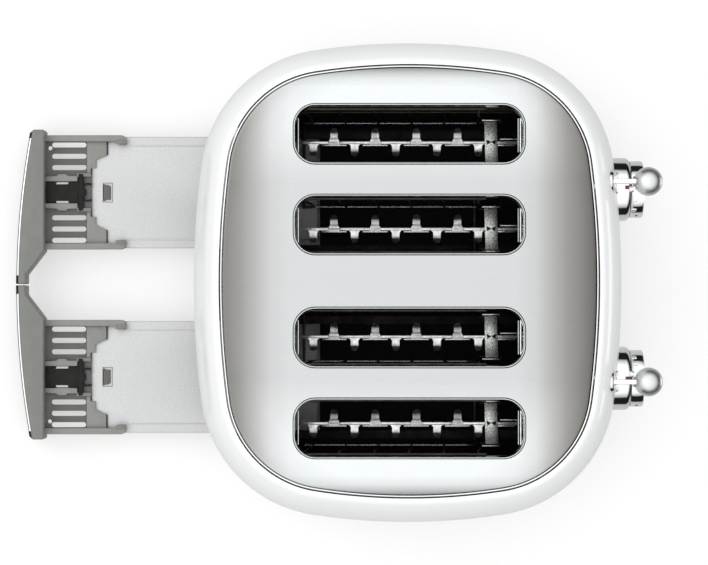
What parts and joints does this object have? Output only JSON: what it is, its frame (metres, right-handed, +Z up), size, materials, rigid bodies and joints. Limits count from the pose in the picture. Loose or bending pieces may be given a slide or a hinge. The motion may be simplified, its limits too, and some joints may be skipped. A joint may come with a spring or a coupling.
{
  "type": "pop up toaster",
  "caption": "Rounded four-slot pop-up toaster with ball levers, dials, a satin top panel and pull-out crumb trays.",
  "frame": {"origin": "bottom centre of the whole outline with the crumb trays pulled out, on the surface the toaster stands on", "axes": "+Z up, levers and dials towards -Y, crumb trays pull out towards +Y, X across the bread slots"},
  "size_m": [0.321, 0.4404, 0.1995],
  "materials": {
    "enamel": "gloss enamel",
    "satin_steel": "satin",
    "chrome": "polished",
    "black_plastic": "matte",
    "foot_rubber": "matte",
    "galvanised": "galvanised sheet",
    "spring_steel": "drawn",
    "guard_wire": "oxidised",
    "mica": "mica sheet",
    "ribbon": "oxidised ribbon",
    "coil": "varnished winding",
    "board": "laminate",
    "grey_plastic": "fine grain",
    "tray_steel": "galvanised sheet",
    "red_plastic": "gloss",
    "strip": "speckled zinc"
  },
  "bodies": {
    "root": {"body_shell": "enamel", "top_panel": "satin_steel", "slot_lips": "satin_steel", "panel_frame": "galvanised", "trim_ring": "chrome", "base_skirt": "chrome", "base_plate": "black_plastic", "feet": "foot_rubber", "chassis_front": "galvanised", "chassis_rear": "galvanised", "tray_guides": "galvanised", "heater_boards_inner": "mica", "heater_boards_middle": "mica", "heater_boards_outer": "mica", "heating_wires": "ribbon", "guide_rods": "spring_steel", "electromagnets": "coil", "control_boards": "board", "dial_pots": "black_plastic", "cord_gland": "black_plastic", "screws": "spring_steel", "dial_bezel_1": "chrome", "dial_bezel_2": "chrome", "dial_markers": "red_plastic", "lever_bezel_1": "chrome", "lever_bezel_2": "chrome", "lift_spring_1": "spring_steel", "lift_spring_2": "spring_steel"},
    "carriage_1": {"bread_rail_1": "galvanised", "bread_rail_2": "galvanised", "rail_strips_1": "strip", "lift_frame_1": "galvanised", "lever_ball_1": "chrome"},
    "carriage_2": {"bread_rail_3": "galvanised", "bread_rail_4": "galvanised", "rail_strips_2": "strip", "lift_frame_2": "galvanised", "lever_ball_2": "chrome"},
    "guards_1": {"bread_guards_1": "guard_wire"},
    "guards_2": {"bread_guards_2": "guard_wire"},
    "guards_3": {"bread_guards_3": "guard_wire"},
    "guards_4": {"bread_guards_4": "guard_wire"},
    "dial_1": {"dial_1": "chrome"},
    "dial_2": {"dial_2": "chrome"},
    "button_1": {"button_1": "chrome"},
    "button_2": {"button_2": "chrome"},
    "button_3": {"button_3": "chrome"},
    "button_4": {"button_4": "chrome"},
    "button_5": {"button_5": "chrome"},
    "button_6": {"button_6": "chrome"},
    "tray_1": {"crumb_tray_1": "tray_steel", "tray_handle_1": "grey_plastic", "tray_trim_1": "chrome"},
    "tray_2": {"crumb_tray_2": "tray_steel", "tray_handle_2": "grey_plastic", "tray_trim_2": "chrome"},
    "latch_1": {"tray_latch_1": "black_plastic"},
    "latch_2": {"tray_latch_2": "black_plastic"}
  },
  "joints": [
    {"name": "lift_1", "type": "slide", "parent": "root", "child": "carriage_1", "axis": [0, 0, 1], "range_m": [-0.055, 0], "stiffness_N_per_m": 60, "springref_m": 0.16, "deforming": ["lift_spring_1"]},
    {"name": "lift_2", "type": "slide", "parent": "root", "child": "carriage_2", "axis": [0, 0, 1], "range_m": [-0.055, 0], "stiffness_N_per_m": 60, "springref_m": 0.16, "deforming": ["lift_spring_2"]},
    {"name": "guard_1", "type": "slide", "parent": "root", "child": "guards_1", "axis": [-1, 0, 0], "range_m": [0, 0.006]},
    {"name": "guard_2", "type": "slide", "parent": "root", "child": "guards_2", "axis": [1, 0, 0], "range_m": [0, 0.006]},
    {"name": "guard_3", "type": "slide", "parent": "root", "child": "guards_3", "axis": [-1, 0, 0], "range_m": [0, 0.006]},
    {"name": "guard_4", "type": "slide", "parent": "root", "child": "guards_4", "axis": [1, 0, 0], "range_m": [0, 0.006]},
    {"name": "dial_turn_1", "type": "hinge", "parent": "root", "child": "dial_1", "pos_m": [0.0653, -0.20975, 0.062], "axis": [0, -1, 0], "range_deg": [-270, 0]},
    {"name": "dial_turn_2", "type": "hinge", "parent": "root", "child": "dial_2", "pos_m": [-0.0653, -0.20975, 0.062], "axis": [0, -1, 0], "range_deg": [-270, 0]},
    {"name": "press_1", "type": "slide", "parent": "root", "child": "button_1", "axis": [0, 1, 0], "range_m": [0, 0.0012], "stiffness_N_per_m": 300, "springref_m": -0.002},
    {"name": "press_2", "type": "slide", "parent": "root", "child": "button_2", "axis": [0, 1, 0], "range_m": [0, 0.0012], "stiffness_N_per_m": 300, "springref_m": -0.002},
    {"name": "press_3", "type": "slide", "parent": "root", "child": "button_3", "axis": [0, 1, 0], "range_m": [0, 0.0012], "stiffness_N_per_m": 300, "springref_m": -0.002},
    {"name": "press_4", "type": "slide", "parent": "root", "child": "button_4", "axis": [0, 1, 0], "range_m": [0, 0.0012], "stiffness_N_per_m": 300, "springref_m": -0.002},
    {"name": "press_5", "type": "slide", "parent": "root", "child": "button_5", "axis": [0, 1, 0], "range_m": [0, 0.0012], "stiffness_N_per_m": 300, "springref_m": -0.002},
    {"name": "press_6", "type": "slide", "parent": "root", "child": "button_6", "axis": [0, 1, 0], "range_m": [0, 0.0012], "stiffness_N_per_m": 300, "springref_m": -0.002},
    {"name": "tray_slide_1", "type": "slide", "parent": "root", "child": "tray_1", "axis": [0, 1, 0], "range_m": [-0.1375, 0.02]},
    {"name": "latch_press_1", "type": "slide", "parent": "tray_1", "child": "latch_1", "axis": [0, -1, 0], "range_m": [0, 0.003], "stiffness_N_per_m": 300, "springref_m": -0.003},
    {"name": "tray_slide_2", "type": "slide", "parent": "root", "child": "tray_2", "axis": [0, 1, 0], "range_m": [-0.1375, 0.02]},
    {"name": "latch_press_2", "type": "slide", "parent": "tray_2", "child": "latch_2", "axis": [0, -1, 0], "range_m": [0, 0.003], "stiffness_N_per_m": 300, "springref_m": -0.003}
  ],
  "couplings": [
    {"joint": "guard_1", "follows": "lift_1", "ratio": -0.10909},
    {"joint": "guard_2", "follows": "lift_1", "ratio": -0.10909},
    {"joint": "guard_3", "follows": "lift_2", "ratio": -0.10909},
    {"joint": "guard_4", "follows": "lift_2", "ratio": -0.10909}
  ]
}
